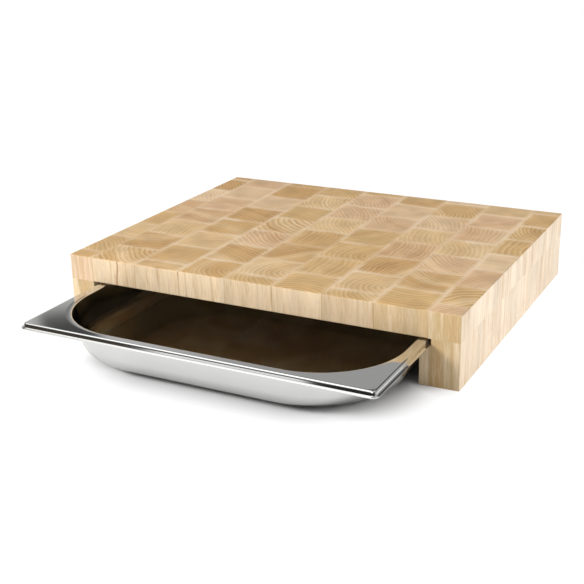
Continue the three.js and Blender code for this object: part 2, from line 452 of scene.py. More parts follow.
class Shop:
    """The workshop moves that the pieces share."""

    @staticmethod
    def clear() -> None:
        """Lets go of everything that is selected."""
        bpy.ops.object.select_all(action="DESELECT")

    @staticmethod
    def activate(piece: Piece) -> None:
        """Selects one piece alone and makes it the active one."""
        Shop.clear()
        piece.select_set(True)
        bpy.context.view_layer.objects.active = piece

    @staticmethod
    @contextmanager
    def editing(piece: Piece) -> Iterator[None]:
        """Keeps a piece in edit mode for a while, and starts with all of it selected."""
        Shop.activate(piece)
        bpy.ops.object.mode_set(mode="EDIT")
        bpy.ops.mesh.select_all(action="SELECT")
        yield
        bpy.ops.object.mode_set(mode="OBJECT")

    @staticmethod
    def cube(name: str, low: Vector, high: Vector) -> Piece:
        """Adds a cube between two corners, with its place in its mesh.

        Args:
            name: The piece's name.
            low: The lowest corner, in metres.
            high: The highest corner.

        Returns:
            The new piece, selected and active.
        """
        Shop.clear()
        bpy.ops.mesh.primitive_cube_add(size=1, location=(low + high) / 2)
        piece = bpy.context.object
        piece.name = name
        piece.scale = high - low
        bpy.ops.object.transform_apply(location=True, rotation=True, scale=True)
        return piece

    @staticmethod
    def select(part: Part, test: Callable[[object], bool]) -> int:
        """Selects, in edit mode, what passes a test.

        Args:
            part: Whether vertices, edges or faces are looked at.
            test: Given one of them, says whether it is wanted.

        Returns:
            How many were selected.
        """
        mode, members = part.value
        mesh = bmesh.from_edit_mesh(bpy.context.object.data)
        bpy.ops.mesh.select_mode(type=mode)
        bpy.ops.mesh.select_all(action="DESELECT")
        wanted = [member for member in getattr(mesh, members) if test(member)]
        for member in wanted:
            member.select_set(True)
        bmesh.update_edit_mesh(bpy.context.object.data)
        return len(wanted)

    @staticmethod
    def lies(edge: bmesh.types.BMEdge, **places: float) -> bool:
        """Whether both ends of an edge are at the given x, y or z."""
        return all(
            abs(getattr(end.co, axis) - place) < NEAR
            for end in edge.verts for axis, place in places.items())

    @staticmethod
    def round_edges(piece: Piece, radius: float, steps: int, test: Callable[[object], bool]) -> None:
        """Rounds some of a piece's edges.

        Args:
            piece: The piece.
            radius: How far the round reaches.
            steps: How many faces it has.
            test: Given an edge, says whether it is rounded.
        """
        with Shop.editing(piece):
            if Shop.select(Part.EDGE, test):
                bpy.ops.mesh.bevel(offset=radius, segments=steps, profile=0.5, affect="EDGES")

    @staticmethod
    def join(pieces: Sequence[Piece], name: str) -> Piece:
        """Joins pieces into one mesh.

        Args:
            pieces: The pieces, of which the first one is kept.
            name: The joined piece's name.

        Returns:
            The joined piece.
        """
        Shop.activate(pieces[0])
        for piece in pieces:
            piece.select_set(True)
        bpy.ops.object.join()
        pieces[0].name = name
        return pieces[0]

    @staticmethod
    def deliver(piece: Piece, node: str, body: str, slot: str, finish: Material, crease: float) -> None:
        """Dresses a finished piece and puts it in the place of its CAD node.

        Args:
            piece: The finished piece.
            node: The CAD node that it stands for.
            body: The body that it moves with.
            slot: The record's material slot; not used.
            finish: Its finish.
            crease: The angle from which an edge stays sharp, in degrees.
        """
        Shop.activate(piece)
        bpy.ops.object.shade_smooth_by_angle(angle=math.radians(crease))
        piece.data.materials.clear()
        piece.data.materials.append(finish)
        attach(piece, body)
        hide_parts(node)
        log.info("%s stands for %s, with %d faces", piece.name, node, len(piece.data.polygons))


@dataclass(frozen=True)
class Fibres:
    """A noise that is drawn out along the grain."""

    squeeze: float
    """How much of the length along the grain is left: the less, the longer the fibres."""
    scale: float
    detail: float

    def over(self, shader: Shader, grain: Socket) -> Value:
        """Adds the noise over a point's place in the tree."""
        return shader.noise(shader.stretch(grain, (1, 1, self.squeeze)), self.scale, self.detail)


@dataclass(frozen=True)
class Years:
    """A noise that changes from year to year."""

    start: float
    """The year that it is read from, so that no two of them are alike."""
    scale: float
    detail: float

    def over(self, shader: Shader, year: Value) -> Value:
        """Adds the noise over the number of years."""
        return shader.noise_along(year + self.start, self.scale, self.detail)


@dataclass(frozen=True)
class Streak:
    """Wood of one colour where a noise is high, or where it is low."""

    rise: Pair
    """The noise's value where the colour starts to show, and where it shows in full."""
    share: float
    wood: Colour


@dataclass(frozen=True)
class Seams:
    """The pale margins along the glued seams, whose lengths are in millimetres."""

    margin: Pair = (6.6, -0.6)
    """How far from a seam the margin starts, and where it is whole."""
    power: float = 1.3
    uneven: Pair = (62.0, 3.0)
    """The scale and detail of the noise that makes the margin uneven."""
    stray: float = 7.0
    patch: Pair = (24.0, 1.0)
    """The scale and detail of the noise that makes it paler in places."""
    patch_rise: Pair = (0.38, 0.62)
    patch_light: Pair = (0.42, 1.0)
    across_pace: float = 1.25
    """How much narrower the margin is at the seams between the strips."""
    corner: float = 6.0
    corner_fill: float = 0.07
    """How far the margin fills a block's corners."""
    turn: Pair = (-3.0, 3.0)
    """Where one seam's paleness gives way to the other's."""
    glue: Pair = (0.55, 0.12)
    core: Pair = (3.0, 15.0)
    """How far from the seams a block's middle starts, and where it is whole."""

    def masks(self, shader: Shader) -> tuple[Value, Value, Value]:
        """Builds the masks of the margins, of the glue and of the blocks' middles.

        Args:
            shader: The shader that they go into.

        Returns:
            The margin's mask and the glue's, each 1 on a seam, and the one that is 1 far from any.
        """
        left, front, sap_along = shader.numbers("seam_low")
        right, back, sap_across = shader.numbers("seam_high")
        place = shader.node("ShaderNodeTexCoord").outputs["Object"]
        uneven = shader.sway(place, *self.uneven) * self.stray
        patch = shader.noise(place, *self.patch).rise(*self.patch_rise).towards(*self.patch_light)
        across = left.least(right) * self.across_pace
        along = front.least(back)
        nearest = across.least(along)
        filled = (self.corner - across).most(0.0) * (self.corner - along).most(0.0) * self.corner_fill
        rounded = nearest - filled
        sap = (along - across).rise(*self.turn).towards(sap_along, sap_across)
        margin = (rounded + uneven).rise(*self.margin) ** self.power * patch * sap
        return margin, nearest.rise(*self.glue), rounded.rise(*self.core)


SIDE_LATE: Colour = (0.76, 0.61, 0.41)
SIDE_EARLY: Colour = (0.93, 0.85, 0.73)


@dataclass(frozen=True)
class EndGrain:
    """The finish of a wooden block: rings on the end grain, streaks on the upright faces.

    A pair of numbers that a mask goes between has the number without the mask first.
    """

    late_wood: Colour = (0.68, 0.48, 0.25)
    early_wood: Colour = (0.94, 0.84, 0.68)
    flank_highlight_wood: Colour = (0.900, 0.840, 0.765)
    # A painted highlight: paler, less saturated wood laid on the board's left and right sides, for the
    # bright side light.
    """The paler wood of the board's left and right sides."""
    flank_highlight_share: float = 0.8
    facing: Pair = (0.3, 0.9)
    """How squarely a face looks up or sideways where that starts to count, and where it counts in full."""
    year_squeeze: float = 0.05
    wide_bend: Pair = (0.040, 1.0)
    """The scale and detail of the noise that bends the rings."""
    wide_stray: float = 8.0
    """How far it bends them in all, in millimetres."""
    small_bend: Pair = (0.17, 2.0)
    small_stray: float = 0.9
    vigour: Years = Years(31.0, 0.55, 1.0)
    """How strongly each year grew."""
    vigour_rise: Pair = (0.30, 0.70)
    line_power: float = 2.4
    """How late in the year its dark line rises."""
    line_end: Pair = (1.0, 0.82)
    line_vigour: Pair = (0.35, 1.0)
    pale_power: float = 2.0
    """How soon the year's pale start fades."""
    pale_start: Pair = (0.0, 0.08)
    pale_vigour: Pair = (0.40, 1.0)
    bands: Years = Years(77.0, 0.16, 2.0)
    """Several years that are darker or paler together."""
    dark_band: Pair = (0.50, 0.74)
    pale_band: Pair = (0.48, 0.26)
    dark_band_share: Pair = (0.05, 0.39)
    pale_band_share: Pair = (0.06, 0.56)
    pale_share: Pair = (0.20, 0.66)
    line_share: Pair = (0.24, 0.74)
    hair: Years = Years(131.0, 3.3, 2.0)
    hair_light: Pair = (0.93, 1.07)
    streaks: tuple[tuple[Fibres, tuple[Streak, ...]], ...] = (
        (Fibres(0.02, 0.075, 2.0),
         (Streak((0.46, 0.30), 0.55, SIDE_EARLY), Streak((0.52, 0.70), 0.46, SIDE_LATE))),
        (Fibres(0.03, 0.38, 3.0),
         (Streak((0.52, 0.72), 0.64, SIDE_LATE), Streak((0.48, 0.28), 0.56, SIDE_EARLY))),
        (Fibres(0.05, 1.3, 2.0),
         (Streak((0.50, 0.70), 0.36, SIDE_LATE), Streak((0.48, 0.30), 0.28, SIDE_EARLY))),
    )
    """The upright faces' streaks, from the broadest to the finest."""
    vein_noise: Pair = (0.15, 1.0)
    """The scale and detail of the noise that makes a vein stray."""
    vein_stray: float = 2.5
    vein: Streak = Streak((1.5, 0.2), 0.75, (0.66, 0.45, 0.26))
    """A vein's wood. Its rise is read in millimetres from the vein's middle."""
    fibre: Fibres = Fibres(0.04, 0.9, 3.0)
    pores: Fibres = Fibres(0.05, 2.3, 1.0)
    pore_rise: Pair = (0.62, 0.78)
    pore_share: Pair = (0.12, 0.22)
    pore_wood: Colour = (0.52, 0.38, 0.22)
    cloud: Fibres = Fibres(0.15, 0.045, 2.0)
    cloud_rise: Pair = (0.28, 0.72)
    cloud_light: Pair = (0.86, 1.04)
    speck: Fibres = Fibres(0.3, 1.7, 2.0)
    speck_light: Pair = (-0.052, 0.108)
    seams: Seams = Seams()
    core_shade: float = 0.03
    seam_wood: Colour = (0.915, 0.825, 0.705)
    seam_share: float = 0.90
    glue_wood: Colour = (0.66, 0.52, 0.34)
    glue_share: Pair = (0.10, 0.60)
    rough: Pair = (0.52, 0.66)
    fibre_relief: float = 0.6
    pore_relief: float = 0.5
    """How deep the pores lie, as a share of the bump's depth."""
    glue_relief: float = 0.4
    bump: float = 0.22
    bump_depth: float = 0.3 * MM
    index: float = 1.42
    """The index of refraction of the oil on the wood."""

    def material(self) -> Material:
        """Builds the material, which reads the blocks' own attributes.

        Returns:
            The finished material.
        """
        shader = Shader.of("end_grain")
        grain = shader.attribute("grain").outputs["Vector"]
        tone = shader.attribute("tone").outputs["Color"]
        face = shader.attribute("face").outputs["Color"]
        ring, depth, seed = shader.numbers("cut")
        sideways, _, upward = shader.parts(shader.node("ShaderNodeNewGeometry").outputs["Normal"])
        side = 1.0 - upward.size().rise(*self.facing)
        worked = upward.rise(*self.facing)
        # Faces that look left or right get a painted highlight: paler and less saturated.
        flank_highlight = sideways.size().rise(*self.facing)
        face = shader.blend(flank_highlight * self.flank_highlight_share, face, linear(self.flank_highlight_wood))

        end = self.end_colour(shader, self.years(shader, grain, ring) + seed, tone, depth)
        colour = shader.blend(side, end, self.side_colour(shader, grain, face))

        fibre = self.fibre.over(shader, grain)
        pores = self.pores.over(shader, grain).rise(*self.pore_rise)
        cloud = self.cloud.over(shader, grain).rise(*self.cloud_rise)
        speck = self.speck.over(shader, grain)
        colour = shader.blend(pores * side.towards(*self.pore_share), colour, linear(self.pore_wood))
        light = cloud.towards(*self.cloud_light) + (1.0 - side) * speck.towards(*self.speck_light)
        colour = shader.shaded(colour, light)
        margin, glue, core = self.seams.masks(shader)
        colour = shader.shaded(colour, 1.0 - core * worked * self.core_shade)
        colour = shader.blend(margin * worked * self.seam_share, colour, linear(self.seam_wood))
        colour = shader.blend(glue * side.towards(*self.glue_share), colour, linear(self.glue_wood))
        relief = fibre * self.fibre_relief - pores * self.pore_relief - glue * self.glue_relief
        made = {"Strength": self.bump, "Distance": self.bump_depth, "Height": relief}
        bump = shader.node("ShaderNodeBump", None, made)
        return shader.surface({
            "Base Color": colour,
            "Roughness": fibre.towards(*self.rough),
            "Normal": bump.outputs[0],
            "IOR": self.index,
        })

    def years(self, shader: Shader, grain: Socket, ring: Value) -> Value:
        """Counts the years from the tree's heart to a point.

        Args:
            shader: The shader that it goes into.
            grain: The point's place from the heart, in millimetres.
            ring: The width of a ring.

        Returns:
            The number of years.
        """
        upright = shader.stretch(grain, (1, 1, self.year_squeeze))
        wide = shader.sway(upright, *self.wide_bend) * self.wide_stray
        small = shader.sway(upright, *self.small_bend) * self.small_stray
        radius = shader.length(shader.stretch(grain, (1, 1, 0)))
        return (radius + wide + small) / ring

    def end_colour(self, shader: Shader, year: Value, tone: Socket, depth: Value) -> Socket:
        """Colours the end grain: each year pales at first, darkens slowly and ends in a line.

        Args:
            shader: The shader that it goes into.
            year: The number of years from the heart.
            tone: The block's tone.
            depth: How strongly its rings show.

        Returns:
            The colour.
        """
        late, early = linear(self.late_wood), linear(self.early_wood)
        within = shader.math("FRACT", year)
        vigour = self.vigour.over(shader, year).rise(*self.vigour_rise)
        line = within ** self.line_power * within.rise(*self.line_end) * vigour.towards(*self.line_vigour)
        pale = (1.0 - within) ** self.pale_power * within.rise(*self.pale_start)
        pale = pale * vigour.towards(*self.pale_vigour)
        bands = self.bands.over(shader, year)
        colour = tone
        for mask, share, wood in (
                (bands.rise(*self.dark_band), self.dark_band_share, late),
                (bands.rise(*self.pale_band), self.pale_band_share, early),
                (pale, self.pale_share, early),
                (line, self.line_share, late)):
            colour = shader.blend(mask * depth.towards(*share), colour, wood)
        return shader.shaded(colour, self.hair.over(shader, year).towards(*self.hair_light))

    def side_colour(self, shader: Shader, grain: Socket, face: Socket) -> Socket:
        """Colours the upright faces: streaks that run up and down, and a brown vein where a block has one.

        Args:
            shader: The shader that it goes into.
            grain: The point's place from the heart, in millimetres.
            face: The tone of the block's upright faces.

        Returns:
            The colour.
        """
        colour = face
        for fibres, streaks in self.streaks:
            noise = fibres.over(shader, grain)
            for streak in streaks:
                colour = shader.blend(noise.rise(*streak.rise) * streak.share, colour, linear(streak.wood))
        stray = shader.sway(grain, *self.vein_noise) * self.vein_stray
        aside = (shader.number("vein") + stray).size()
        return shader.blend(aside.rise(*self.vein.rise) * self.vein.share, colour, linear(self.vein.wood))


@dataclass(frozen=True)
class PressedSteel:
    """The finish of the tray: satin inside, and polished on and round the rim."""

    sheet: Colour = (0.885, 0.885, 0.875)
    dull: Colour = (0.80, 0.80, 0.80)
    dull_share: float = 0.3
    satin: float = 0.12
    polished: float = 0.05
    rolled: Span = (30.0, 900.0, 900.0)
    """How fast the rolled grain changes along each axis, per metre."""
    grain_detail: float = 2.0
    grain_rough: float = 0.04
    cloud: Pair = (14.0, 3.0)
    """The scale and detail of the clouds on the sheet."""
    cloud_rough: float = 0.05

    def material(self) -> Material:
        """Builds the material, which reads the tray's own polish attribute.

        Returns:
            The finished material.
        """
        shader = Shader.of("pressed_steel")
        polish = shader.number("polish")
        place = shader.node("ShaderNodeTexCoord").outputs["Object"]
        grain = shader.sway(shader.stretch(place, self.rolled), 1.0, self.grain_detail)
        cloud = shader.noise(place, *self.cloud)
        satin = (cloud - 0.5) * self.cloud_rough + self.satin + grain * self.grain_rough
        dulled = (cloud + grain.size()) * self.dull_share
        tint = shader.blend(dulled, linear(self.sheet), linear(self.dull))
        rough = polish.towards(satin, self.polished)
        return shader.surface({"Base Color": tint, "Metallic": 1.0, "Roughness": rough})


@dataclass
class Joinery:
    """How the board's blocks are cut and eased, and how their grain is laid."""

    finish: Material
    ease: float = 1.1 * MM
    """The round on the board's outer edges."""
    ease_steps: int = 3
    crease: float = 35.0
    lean: float = 0.035
    """How far a tree's heart leans over, as a share of the block's height."""
    vein_lean: float = 0.1
    """How far a vein leans over, as a share of the block's height."""
    seed_paces: Pair = (7.0, 13.0)
    """How a block's seed grows to the right and to the back, per millimetre."""
    seeds: float = 97.0
    """Where the seeds start over. A seed is the number of years that the rings are shifted by."""
    sap_paces: Pair = (0.61, 1.37)
    """How the paleness of a block's margins grows with its seed, along the strip and across it."""
    least_sap: float = 0.50
    """How pale the margins are at the least, as a share of the palest."""
    far: float = 40.0
    """How far off a seam counts as on a side that has none, in millimetres."""

    def __post_init__(self) -> None:
        """Reads the board's place from the frame."""
        boxes = [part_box(f"top_strip_{number + 1}") for number in range(len(STRIPS))]
        self.low = Vector((boxes[0][0].x, boxes[0][0].y, 0))
        self.high = boxes[-1][1].copy()
        self.underside = boxes[0][0].z

    @staticmethod
    def seams(boxes: Sequence[tuple[Vector, Vector]], axis: str) -> list[float]:
        """Where a row of CAD nodes starts, is glued and ends.

        Args:
            boxes: The nodes' lowest and highest corners, in order.
            axis: The axis that the row lies along.

        Returns:
            The start, the middle of each gap, and the end.
        """
        lows, highs = ([getattr(box[end], axis) for box in boxes] for end in (0, 1))
        return [lows[0], *((high + low) / 2 for high, low in zip(highs, lows[1:])), highs[-1]]

    def ease_outer_edges(self, piece: Piece) -> None:
        """Rounds the piece's edges that lie in two of the board's outer faces."""
        def outer(edge: bmesh.types.BMEdge) -> bool:
            """Whether an edge is one of them."""
            sides = [(axis, getattr(end, axis)) for axis in "xyz" for end in (self.low, self.high)]
            return sum(Shop.lies(edge, **{axis: place}) for axis, place in sides) == 2

        Shop.round_edges(piece, self.ease, self.ease_steps, outer)

    def lay_grain(self, piece: Piece, block: Block, low: Vector, high: Vector, free: Sequence[bool]) -> None:
        """Gives each point of a block its place in the tree, its tone and its distance to the seams.

        Args:
            piece: The block.
            block: How it was cut.
            low: The block's own lowest corner.
            high: The block's own highest corner.
            free: Which of its left, right, front and back sides have no seam.
        """
        layers = piece.data.attributes
        layers.new("vein", "FLOAT", "POINT")
        for name in ("tone", "face"):
            layers.new(name, "FLOAT_COLOR", "POINT")
        for name in ("grain", "cut", "seam_low", "seam_high"):
            layers.new(name, "FLOAT_VECTOR", "POINT")
        centre = (low + high) / 2
        angle = math.radians(block.heart)
        heart = Vector((math.cos(angle), math.sin(angle), 0)) * block.reach
        far = [self.far if side else 0.0 for side in free]
        seed = (centre.x * self.seed_paces[0] + centre.y * self.seed_paces[1]) / MM % self.seeds
        sap = [self.least_sap + (1 - self.least_sap) * (seed * pace % 1) for pace in self.sap_paces]
        tone, face = linear(block.tone.value), linear(block.face.value)
        for index, vertex in enumerate(piece.data.vertices):
            place = (vertex.co - centre) / MM
            leaning = Vector((place.x + self.lean * place.z, place.y - self.lean * place.z, place.z))
            from_low = (vertex.co - low) / MM
            from_high = (high - vertex.co) / MM
            layers["grain"].data[index].vector = leaning - heart
            layers["tone"].data[index].color = tone
            layers["face"].data[index].color = face
            layers["cut"].data[index].vector = (block.ring, block.depth, seed)
            layers["vein"].data[index].value = place.x - place.z * self.vein_lean - block.vein
            layers["seam_low"].data[index].vector = (from_low.x + far[0], from_low.y + far[2], sap[0])
            layers["seam_high"].data[index].vector = (from_high.x + far[1], from_high.y + far[3], sap[1])

    def deliver(self, piece: Piece, node: str) -> None:
        """Dresses a finished piece of the board and puts it in the place of its CAD node."""
        Shop.deliver(piece, node, "board", "wood", self.finish, self.crease)


@dataclass
class Top:
    """The end-grain top: nine strips of blocks in running bond."""

    joinery: Joinery
    block_pitch: float = 46.9 * MM
    odd_front_block: float = 17.4 * MM
    """The depth of the front block of the first strip, the third and so on."""
    even_front_block: float = 42.0 * MM
    brow_ease: float = 0.6 * MM
    """The round on the lower front edge, above the tray."""

    def rows(self, strip: int) -> list[tuple[float, float]]:
        """Where each block of a strip starts and ends, front to back.

        Args:
            strip: The strip's number from the left, from 0.

        Returns:
            The front and back of each block, in metres.
        """
        first = self.joinery.low.y + (self.even_front_block if strip % 2 else self.odd_front_block)
        glued = [first + step * self.block_pitch for step in range(len(STRIPS[strip]) - 1)]
        return list(zip([self.joinery.low.y, *glued], [*glued, self.joinery.high.y]))

    def build_block(self, strip: int, row: int, low: Vector, high: Vector) -> Piece:
        """Builds one block of a strip.

        Args:
            strip: The strip's number from the left, from 0.
            row: The block's number from the front, from 0.
            low: The block's lowest corner.
            high: Its highest corner.

        Returns:
            The block, with its grain laid.
        """
        joinery = self.joinery
        last = len(STRIPS) - 1
        block = Shop.cube(f"top_strip_{strip + 1}_block_{row + 1}", low, high)
        joinery.ease_outer_edges(block)
        if 0 < strip < last:
            brow = {"y": joinery.low.y, "z": joinery.underside}
            Shop.round_edges(block, self.brow_ease, joinery.ease_steps, lambda edge: Shop.lies(edge, **brow))
        free = (strip == 0, strip == last, row == 0, row == len(STRIPS[strip]) - 1)
        joinery.lay_grain(block, STRIPS[strip][row], low, high, free)
        return block

    def build(self) -> None:
        """Builds every strip from its blocks and dresses it."""
        joinery = self.joinery
        nodes = [f"top_strip_{number + 1}" for number in range(len(STRIPS))]
        seams = joinery.seams([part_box(node) for node in nodes], "x")
        for strip, (node, left, right) in enumerate(zip(nodes, seams, seams[1:])):
            blocks = []
            for row, (front, back) in enumerate(self.rows(strip)):
                low = Vector((left, front, joinery.underside))
                high = Vector((right, back, joinery.high.z))
                blocks.append(self.build_block(strip, row, low, high))
            joinery.deliver(Shop.join(blocks, f"{node}_blocks"), node)


@dataclass
class SideRail:
    """A side rail: upright blocks, with the groove for the tray's rim along the inner top edge."""

    side: Side
    joinery: Joinery
    ledge_ease: float = 0.35 * MM
    """The round on the ledge's edge, over the tray's bay."""
    ledge_steps: int = 2
    upward: float = 0.9
    """The least rise of the normal of a face that looks up."""

    def __post_init__(self) -> None:
        """Reads the blocks' places from the frame, and the groove from the first block's own mesh."""
        self.nodes = [f"{self.side.value}_rail_block_{number + 1}" for number in range(len(RAIL_BLOCKS))]
        self.boxes = [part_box(node) for node in self.nodes]
        low, high = self.boxes[0]
        self.inner = high.x if self.side is Side.LEFT else low.x
        points = [vertex.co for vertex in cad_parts[self.nodes[0]].data.vertices]
        self.ledge = max(point.z for point in points if abs(point.x - self.inner) < NEAR)
        level = [point.x for point in points if abs(point.z - self.ledge) < NEAR]
        self.wall = min(level) if self.side is Side.LEFT else max(level)
        self.groove_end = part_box("back_rail_block_1")[0].y

    def beside_groove(self, face: bmesh.types.BMFace) -> bool:
        """Whether a face is on top, outside the groove."""
        middle = face.calc_center_median()
        outside = middle.x < self.wall if self.side is Side.LEFT else middle.x > self.wall
        return face.normal.z > self.upward and (outside or middle.y > self.groove_end)

    def over_bay(self, edge: bmesh.types.BMEdge) -> bool:
        """Whether an edge is the ledge's, over the tray's bay."""
        return Shop.lies(edge, x=self.inner, z=self.ledge) and edge.verts[0].co.y < self.groove_end

    def build(self) -> None:
        """Builds every block, raises the wall beside the groove, and dresses it."""
        joinery = self.joinery
        left, right = self.boxes[0][0].x, self.boxes[0][1].x
        seams = joinery.seams(self.boxes, "y")
        for number, (node, block) in enumerate(zip(self.nodes, RAIL_BLOCKS)):
            low = Vector((left, seams[number], 0))
            high = Vector((right, seams[number + 1], self.ledge))
            piece = Shop.cube(f"{node}_wood", low, high)
            with Shop.editing(piece):
                bpy.ops.mesh.bisect(plane_co=(self.wall, 0, 0), plane_no=(1, 0, 0))
                bpy.ops.mesh.select_all(action="SELECT")
                bpy.ops.mesh.bisect(plane_co=(0, self.groove_end, 0), plane_no=(0, 1, 0))
                Shop.select(Part.FACE, self.beside_groove)
                rise = (0, 0, joinery.underside - self.ledge)
                bpy.ops.mesh.extrude_region_move(TRANSFORM_OT_translate={"value": rise})
            Shop.round_edges(piece, self.ledge_ease, self.ledge_steps, self.over_bay)
            joinery.ease_outer_edges(piece)
            high.z = joinery.underside
            free = (True, True, number == 0, number == len(self.nodes) - 1)
            joinery.lay_grain(piece, block, low, high, free)
            joinery.deliver(piece, node)


@dataclass
class BackRail:
    """The back rail: upright blocks between the side rails, which stop the tray."""

    joinery: Joinery
    count: int = 7
    pace: int = 3
    """How far on in the list each next block is taken from, so that no side rail is repeated."""

    def build(self) -> None:
        """Builds and dresses every block."""
        joinery = self.joinery
        nodes = [f"back_rail_block_{number + 1}" for number in range(self.count)]
        boxes = [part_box(node) for node in nodes]
        seams = joinery.seams(boxes, "x")
        seams[0], seams[-1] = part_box("left_rail_block_8")[1].x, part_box("right_rail_block_8")[0].x
        for number, node in enumerate(nodes):
            low = Vector((seams[number], boxes[number][0].y, 0))
            high = Vector((seams[number + 1], boxes[number][1].y, joinery.underside))
            piece = Shop.cube(f"{node}_wood", low, high)
            joinery.ease_outer_edges(piece)
            block = RAIL_BLOCKS[(number * self.pace + 1) % len(RAIL_BLOCKS)]
            joinery.lay_grain(piece, block, low, high, (False, False, True, True))
            joinery.deliver(piece, node)


@dataclass(frozen=True)
class Level:
    """One outline of the tray: how far it lies in from the lip's edge, how high, and its corner."""

    inset: float
    height: float
    corner: float
    polish: float


@dataclass
class Tray:
    """The pressed steel tray, carried round its outline from a section of the sheet."""

    finish: Material
    sheet: float = 0.8 * MM
    rim_height: float = 4.8 * MM
    rim_corner: float = 6.0 * MM
    rim_upright: float = 2.2 * MM
    rim_draft: float = 4.0
    """How far the rim's upright leans in, in degrees."""
    lip_fillet: float = 0.5 * MM
    lip_start: float = -78.0
    """The angle that the fillet starts at, where it meets the lip's slope."""
    lip_slope: float = 0.35 * MM
    """How much lower the lip's top is at its edge than at its fillet."""
    lip_ease: float = 0.10 * MM
    """The round on the edges where the sheet was cut."""
    lip_ease_steps: int = 3
    cut_angle: float = 60.0
    """The angle from which an edge counts as cut, in degrees."""
    shoulder: float = 1.8 * MM
    rim_width: float = 9.6 * MM
    mouth: float = 1.6 * MM
    mouth_corner: float = 73.0 * MM
    corner_spread: float = 13.0 * MM
    """How much rounder the basin's corners are at the floor than at the mouth."""
    draft: float = 7.5
    """How far the basin's walls lean out, in degrees."""
    floor_radius: float = 17.0 * MM
    arc_steps: tuple[int, int, int, int] = (6, 9, 10, 18)
    """The steps in the lip's fillet, the shoulder, the mouth and the floor's round."""
    corner_steps: int = 26
    flange_steps: int = 8
    polish: Span = (1.0, 0.8, 0.15)
    """How polished the rim's edge, its flat and the basin are, from 0."""
    apart: float = 5.0 * MM
    """How far apart the outlines are stacked for bridging, so that none lies in another's plane."""
    least_corner: float = 0.6 * MM
    crease: float = 40.0

    def __post_init__(self) -> None:
        """Reads the tray's place from the frame."""
        self.low, self.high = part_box("tray")
        self.depth = self.high.z - self.low.z

    @staticmethod
    def arc(centre: Pair, radius: float, angles: Pair, steps: int) -> list[Pair]:
        """Points of an arc in the tray's section.

        Args:
            centre: The arc's centre, in from the lip's edge and up from the lip's underside.
            radius: Its radius.
            angles: The angles that it starts and ends at, in degrees.
            steps: How many steps it takes.

        Returns:
            The inset and height of each point.
        """
        start, end = angles
        turns = [math.radians(start + (end - start) * step / steps) for step in range(steps + 1)]
        return [(centre[0] + radius * math.cos(turn), centre[1] + radius * math.sin(turn)) for turn in turns]

    def levels(self) -> list[Level]:
        """The section of the tray's upper face, from the lip's edge to the floor.

        Returns:
            The outlines in order.
        """
        lean, slope = math.tan(math.radians(self.draft)), math.cos(math.radians(self.draft))
        lip_steps, shoulder_steps, mouth_steps, floor_steps = self.arc_steps
        edge_polish, flat_polish, basin_polish = self.polish

        lip_centre = self.sheet + self.lip_slope + self.lip_fillet
        centre = (self.rim_upright - self.lip_fillet, lip_centre)
        lip = self.arc(centre, self.lip_fillet, (self.lip_start, -self.rim_draft), lip_steps)

        shoulder_centre = self.rim_height - self.shoulder
        leaned = (shoulder_centre - lip_centre) * math.tan(math.radians(self.rim_draft))
        centre = (self.rim_upright + leaned + self.shoulder, shoulder_centre)
        shoulder = self.arc(centre, self.shoulder, (180 - self.rim_draft, 90), shoulder_steps)

        mouth_height = self.rim_height - self.mouth
        mouth = self.arc((self.rim_width, mouth_height), self.mouth, (90, self.draft), mouth_steps)

        floor_round = self.floor_radius - self.sheet
        floor_centre = self.rim_height - self.depth + self.floor_radius
        wall = self.rim_width + self.mouth / slope + (mouth_height - floor_centre) * lean
        centre = (wall + floor_round / slope, floor_centre)
        floor = self.arc(centre, floor_round, (180 + self.draft, 270), floor_steps)

        rim = []
        for inset, height in [(0.0, self.sheet), *lip, *shoulder]:
            rim.append(Level(inset, height, max(self.rim_corner - inset, self.least_corner), edge_polish))
        basin = []
        for inset, height in [*mouth, *floor]:
            spread = self.corner_spread * (self.rim_height - height) / self.depth
            corner = self.mouth_corner - (inset - self.rim_width) + spread
            basin.append(Level(inset, height, corner, basin_polish))
        flat = []
        for step in range(1, self.flange_steps):
            share = step / self.flange_steps
            inset = rim[-1].inset + (basin[0].inset - rim[-1].inset) * share
            corner = rim[-1].corner + (basin[0].corner - rim[-1].corner) * share
            flat.append(Level(inset, self.rim_height, corner, flat_polish))
        return rim + flat + basin

    def outline(self, level: Level, drop: float) -> Piece:
        """Adds one outline: a plane with its corners rounded and its face taken out.

        Args:
            level: Which outline.
            drop: How far below its place it is added.

        Returns:
            A loop of edges.
        """
        Shop.clear()
        centre = (self.low + self.high) / 2
        height = self.high.z - self.rim_height + level.height - drop
        bpy.ops.mesh.primitive_plane_add(size=1, location=(centre.x, centre.y, height))
        loop = bpy.context.object
        size = self.high - self.low
        loop.scale = (size.x - 2 * level.inset, size.y - 2 * level.inset, 1)
        bpy.ops.object.transform_apply(location=True, rotation=True, scale=True)
        with Shop.editing(loop):
            steps = self.corner_steps
            bpy.ops.mesh.bevel(offset=level.corner, segments=steps, profile=0.5, affect="VERTICES")
            bpy.ops.mesh.select_all(action="SELECT")
            bpy.ops.mesh.delete(type="ONLY_FACE")
        return loop

    def bridge(self, levels: Sequence[Level]) -> tuple[Piece, int]:
        """Joins the outlines by faces, brings them to their heights and closes the floor.

        Args:
            levels: The outlines, from the lip's edge to the floor.

        Returns:
            The tray as a single sheet, and how many points an outline has.
        """
        loops = [self.outline(level, number * self.apart) for number, level in enumerate(levels)]
        count = len(loops[0].data.vertices)
        log.info("tray outlines: %d, points in each: %d", len(loops), count)
        tray = Shop.join(loops, "tray_sheet")

        def in_outlines(edge: bmesh.types.BMEdge, *numbers: int) -> bool:
            """Whether an edge lies in one of the outlines, and not between two."""
            first, second = (end.index // count for end in edge.verts)
            return first == second and first in numbers

